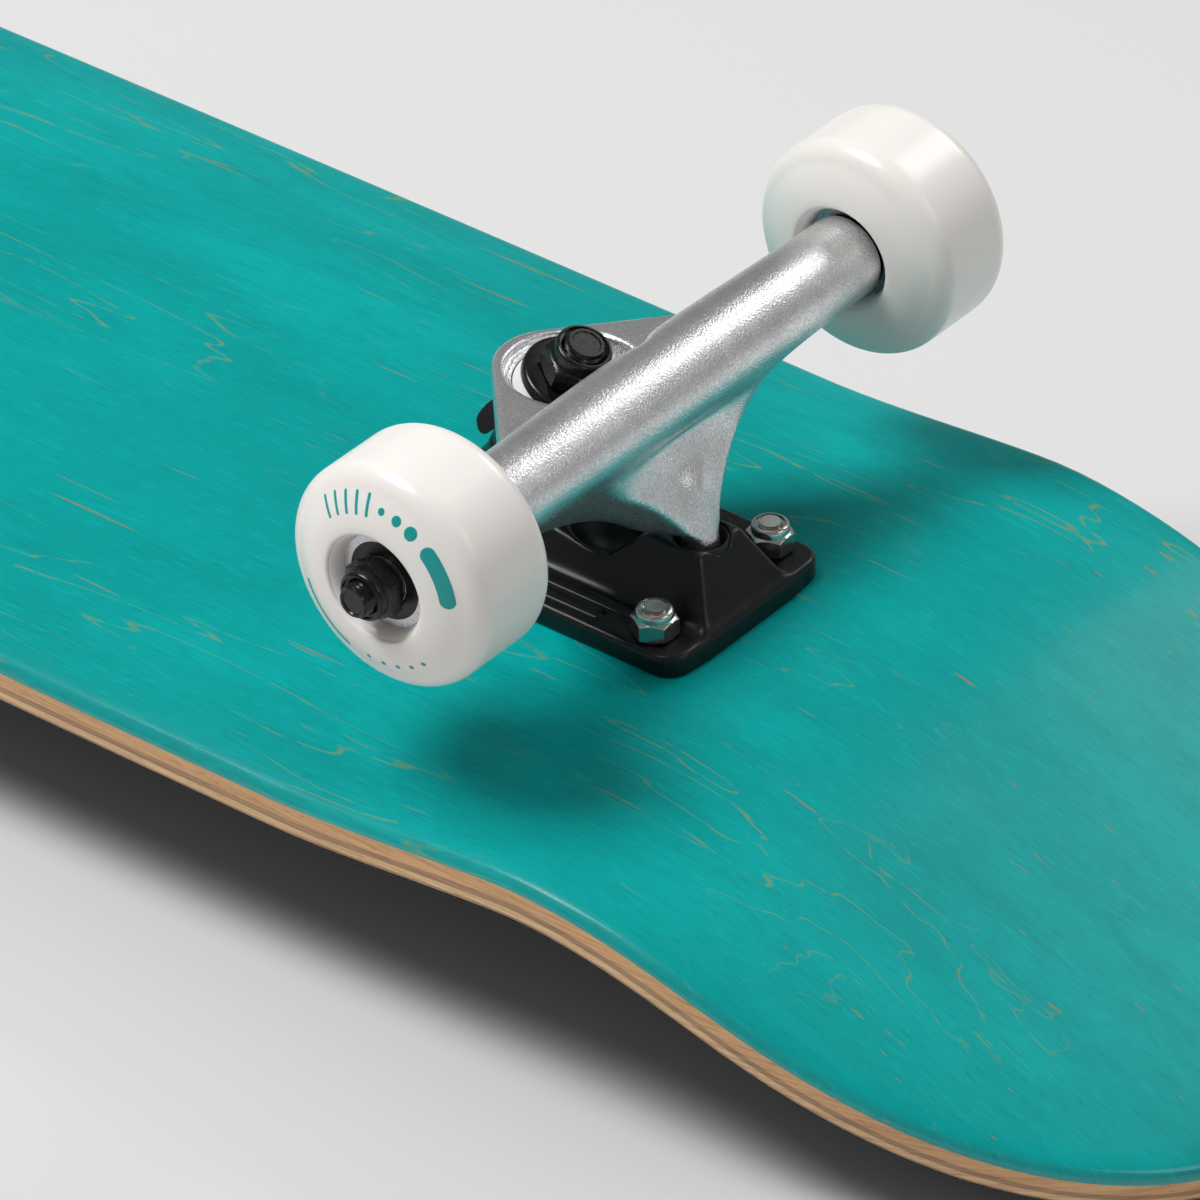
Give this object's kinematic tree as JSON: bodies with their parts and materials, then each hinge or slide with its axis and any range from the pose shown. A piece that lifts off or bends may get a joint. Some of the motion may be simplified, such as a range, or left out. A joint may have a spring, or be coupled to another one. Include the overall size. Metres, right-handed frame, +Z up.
{
  "type": "skateboard",
  "caption": "Popsicle-shaped skateboard with a turquoise stained maple deck, cast aluminium trucks on rubbery bushings, and white urethane wheels on ball bearings.",
  "frame": {"origin": "on the floor under the middle of the board, which lies wheels up on the tips of its nose and tail", "axes": "+X along the board towards its front truck, +Y across the board to its left as it lies, +Z up, away from the deck on the wheel side; turn it 180 degrees about X to ride it"},
  "size_m": [0.8212, 0.2074, 0.1394],
  "materials": {
    "maple_deck": "clear gloss lacquer over stained maple veneer, natural ply edges",
    "grip_tape": "coarse black abrasive grit",
    "base_plate_black": "satin black coating on a casting",
    "black_steel": "glossy black oxide",
    "black_urethane": "matt",
    "white_bushing": "smooth cast urethane",
    "cast_aluminium": "tumbled raw casting with fine sparkle",
    "bright_steel": "bright nickel plate",
    "bearing_steel": "ground",
    "bearing_shield": "black shield",
    "cage_nylon": "moulded",
    "wheel_urethane": "smooth off-white cast urethane"
  },
  "bodies": {
    "root": {"deck": "maple_deck", "grip_tape": "grip_tape", "front_baseplate": "base_plate_black", "front_pivot_cup": "black_urethane", "front_kingpin": "black_steel", "front_kingpin_nut": "black_steel", "front_top_washer": "black_steel", "front_bottom_washer": "black_steel", "front_top_bushing": "white_bushing", "front_bottom_bushing": "white_bushing", "front_mounting_bolts": "bright_steel", "front_mounting_nuts": "bright_steel", "rear_baseplate": "base_plate_black", "rear_pivot_cup": "black_urethane", "rear_kingpin": "black_steel", "rear_kingpin_nut": "black_steel", "rear_top_washer": "black_steel", "rear_bottom_washer": "black_steel", "rear_top_bushing": "white_bushing", "rear_bottom_bushing": "white_bushing", "rear_mounting_bolts": "bright_steel", "rear_mounting_nuts": "bright_steel"},
    "front_hanger_body": {"front_hanger": "cast_aluminium", "front_axle": "black_steel", "front_axle_nuts": "black_steel", "front_speed_washers": "bright_steel", "front_bearing_inner_rings": "bearing_steel"},
    "front_left_wheel_body": {"front_left_wheel": "wheel_urethane", "front_left_bearing_outer_rings": "bearing_steel", "front_left_bearing_shields": "bearing_shield"},
    "front_left_ball_body": {"front_left_bearing_balls": "bearing_steel", "front_left_bearing_cages": "cage_nylon"},
    "front_right_wheel_body": {"front_right_wheel": "wheel_urethane", "front_right_bearing_outer_rings": "bearing_steel", "front_right_bearing_shields": "bearing_shield"},
    "front_right_ball_body": {"front_right_bearing_balls": "bearing_steel", "front_right_bearing_cages": "cage_nylon"},
    "rear_hanger_body": {"rear_hanger": "cast_aluminium", "rear_axle": "black_steel", "rear_axle_nuts": "black_steel", "rear_speed_washers": "bright_steel", "rear_bearing_inner_rings": "bearing_steel"},
    "rear_left_wheel_body": {"rear_left_wheel": "wheel_urethane", "rear_left_bearing_outer_rings": "bearing_steel", "rear_left_bearing_shields": "bearing_shield"},
    "rear_left_ball_body": {"rear_left_bearing_balls": "bearing_steel", "rear_left_bearing_cages": "cage_nylon"},
    "rear_right_wheel_body": {"rear_right_wheel": "wheel_urethane", "rear_right_bearing_outer_rings": "bearing_steel", "rear_right_bearing_shields": "bearing_shield"},
    "rear_right_ball_body": {"rear_right_bearing_balls": "bearing_steel", "rear_right_bearing_cages": "cage_nylon"}
  },
  "joints": [
    {"name": "front_steer", "type": "hinge", "parent": "root", "child": "front_hanger_body", "pos_m": [0.2315, 0, 0.07339], "axis": [0.8642, 0, -0.5032], "range_deg": [-12, 12], "stiffness_Nm_per_rad": 80, "deforming": ["front_top_bushing", "front_bottom_bushing"]},
    {"name": "front_left_wheel_spin", "type": "hinge", "parent": "front_hanger_body", "child": "front_left_wheel_body", "pos_m": [0.22, 0.081, 0.11289], "axis": [0, 1, 0], "continuous": true},
    {"name": "front_left_ball_roll", "type": "hinge", "parent": "front_hanger_body", "child": "front_left_ball_body", "pos_m": [0.22, 0.081, 0.11289], "axis": [0, 1, 0], "continuous": true},
    {"name": "front_right_wheel_spin", "type": "hinge", "parent": "front_hanger_body", "child": "front_right_wheel_body", "pos_m": [0.22, -0.081, 0.11289], "axis": [0, 1, 0], "continuous": true},
    {"name": "front_right_ball_roll", "type": "hinge", "parent": "front_hanger_body", "child": "front_right_ball_body", "pos_m": [0.22, -0.081, 0.11289], "axis": [0, 1, 0], "continuous": true},
    {"name": "rear_steer", "type": "hinge", "parent": "root", "child": "rear_hanger_body", "pos_m": [-0.2315, 0, 0.07339], "axis": [-0.8642, 0, -0.5032], "range_deg": [-12, 12], "stiffness_Nm_per_rad": 80, "deforming": ["rear_top_bushing", "rear_bottom_bushing"]},
    {"name": "rear_left_wheel_spin", "type": "hinge", "parent": "rear_hanger_body", "child": "rear_left_wheel_body", "pos_m": [-0.22, 0.081, 0.11289], "axis": [0, 1, 0], "continuous": true},
    {"name": "rear_left_ball_roll", "type": "hinge", "parent": "rear_hanger_body", "child": "rear_left_ball_body", "pos_m": [-0.22, 0.081, 0.11289], "axis": [0, 1, 0], "continuous": true},
    {"name": "rear_right_wheel_spin", "type": "hinge", "parent": "rear_hanger_body", "child": "rear_right_wheel_body", "pos_m": [-0.22, -0.081, 0.11289], "axis": [0, 1, 0], "continuous": true},
    {"name": "rear_right_ball_roll", "type": "hinge", "parent": "rear_hanger_body", "child": "rear_right_ball_body", "pos_m": [-0.22, -0.081, 0.11289], "axis": [0, 1, 0], "continuous": true}
  ],
  "couplings": [
    {"joint": "front_left_ball_roll", "follows": "front_left_wheel_spin", "ratio": 0.6323},
    {"joint": "front_right_ball_roll", "follows": "front_right_wheel_spin", "ratio": 0.6323},
    {"joint": "rear_left_ball_roll", "follows": "rear_left_wheel_spin", "ratio": 0.6323},
    {"joint": "rear_right_ball_roll", "follows": "rear_right_wheel_spin", "ratio": 0.6323}
  ]
}
